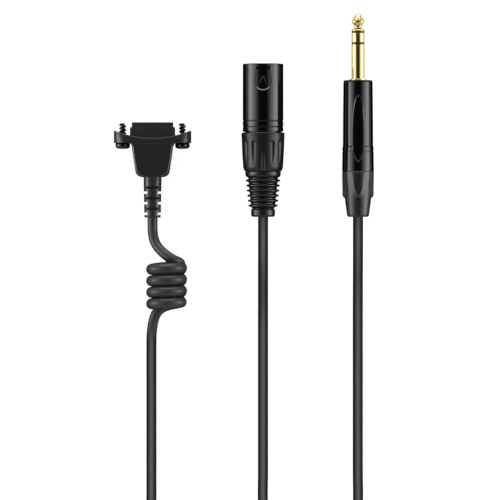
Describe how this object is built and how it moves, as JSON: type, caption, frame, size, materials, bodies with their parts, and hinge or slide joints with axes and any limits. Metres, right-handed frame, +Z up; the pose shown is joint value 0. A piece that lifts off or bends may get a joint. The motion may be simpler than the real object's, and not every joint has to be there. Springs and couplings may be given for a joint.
{
  "type": "headset connecting lead",
  "caption": "Headset lead: a screw-down headset plug with a curly coil behind it, an XLR cable plug and a jack plug, joined at a Y splitter, the spare length in a tied coil.",
  "frame": {"origin": "on the surface the lead lies on, under the middle of the box around the three plugs", "axes": "+X across the three plugs from the headset plug to the jack plug, +Y towards the plug tips, +Z up from the surface"},
  "size_m": [0.1218, 0.3421, 0.0202],
  "materials": {
    "moulded_black": "satin moulded plastic",
    "block_black": "matt moulded plastic",
    "contact_gold": "gold plated",
    "screw_black": "black oxide, satin",
    "spring_steel": "bright",
    "soft_black": "satin rubber",
    "crimp_tin": "tinned",
    "wire_mixed": "insulated cores",
    "shell_black": "gloss black plated",
    "insert_black": "matt",
    "pin_silver": "silver plated",
    "chuck_white": "natural nylon",
    "collar_black": "matt moulded plastic",
    "boot_black": "satin rubber",
    "finger_gold": "gold plated, polished",
    "finger_insulator": "black insulator",
    "holder_white": "natural",
    "jacket_black": "satin cable jacket",
    "tie_black": "woven hook-and-loop"
  },
  "bodies": {
    "lead_set": {"headset_housing": "moulded_black", "headset_contact_block": "block_black", "headset_contacts": "contact_gold", "headset_strain_relief": "soft_black", "headset_crimp": "crimp_tin", "headset_wires": "wire_mixed", "xlr_shell": "shell_black", "xlr_insert": "insert_black", "xlr_pins": "pin_silver", "xlr_ground_spring": "spring_steel", "xlr_chuck": "chuck_white", "xlr_wires": "wire_mixed", "jack_tip": "finger_gold", "jack_tip_insulator": "finger_insulator", "jack_ring": "finger_gold", "jack_ring_insulator": "finger_insulator", "jack_sleeve": "finger_gold", "jack_lug_holder": "holder_white", "jack_lugs": "spring_steel", "jack_handle": "shell_black", "jack_wires": "wire_mixed", "headset_lead": "jacket_black", "curly_coil": "jacket_black", "main_lead": "jacket_black", "storage_coil": "jacket_black", "coil_tail": "jacket_black", "y_splitter": "moulded_black", "xlr_lead": "jacket_black", "jack_lead": "jacket_black", "cable_tie": "tie_black"},
    "headset_ring_left": {"headset_ring_left": "spring_steel"},
    "headset_ring_right": {"headset_ring_right": "spring_steel"},
    "headset_screw_left": {"headset_screw_left": "screw_black"},
    "headset_screw_right": {"headset_screw_right": "screw_black"},
    "xlr_boot": {"xlr_boot": "boot_black"},
    "xlr_collar": {"xlr_collar": "collar_black"},
    "jack_chuck": {"jack_chuck": "chuck_white"},
    "jack_gland_nut": {"jack_gland_nut": "collar_black"}
  },
  "joints": [
    {"name": "headset_screw_left_float", "type": "slide", "parent": "lead_set", "child": "headset_ring_left", "axis": [0, 1, 0], "range_m": [-0.0015, 0]},
    {"name": "headset_screw_left_turn", "type": "hinge", "parent": "headset_ring_left", "child": "headset_screw_left", "pos_m": [-0.0568, -0.01075, 0.0055], "axis": [0, 1, 0], "continuous": true},
    {"name": "headset_screw_right_float", "type": "slide", "parent": "lead_set", "child": "headset_ring_right", "axis": [0, 1, 0], "range_m": [-0.0015, 0]},
    {"name": "headset_screw_right_turn", "type": "hinge", "parent": "headset_ring_right", "child": "headset_screw_right", "pos_m": [-0.0288, -0.01075, 0.0055], "axis": [0, 1, 0], "continuous": true},
    {"name": "xlr_boot_slide", "type": "slide", "parent": "lead_set", "child": "xlr_boot", "axis": [0, 1, 0], "range_m": [-0.00601, 0]},
    {"name": "xlr_collar_turn", "type": "hinge", "parent": "xlr_boot", "child": "xlr_collar", "pos_m": [0.009, -0.01775, 0.0101], "axis": [0, 1, 0], "range_deg": [-1440, 0]},
    {"name": "jack_chuck_slide", "type": "slide", "parent": "lead_set", "child": "jack_chuck", "axis": [0, 1, 0], "range_m": [-0.00601, 0]},
    {"name": "jack_gland_nut_turn", "type": "hinge", "parent": "jack_chuck", "child": "jack_gland_nut", "pos_m": [0.0535, -0.03275, 0.00745], "axis": [0, 1, 0], "range_deg": [-2160, 0]}
  ],
  "couplings": [
    {"joint": "xlr_boot_slide", "follows": "xlr_collar_turn", "m_per_rad": 0.00023873},
    {"joint": "jack_chuck_slide", "follows": "jack_gland_nut_turn", "m_per_rad": 0.00015915}
  ]
}
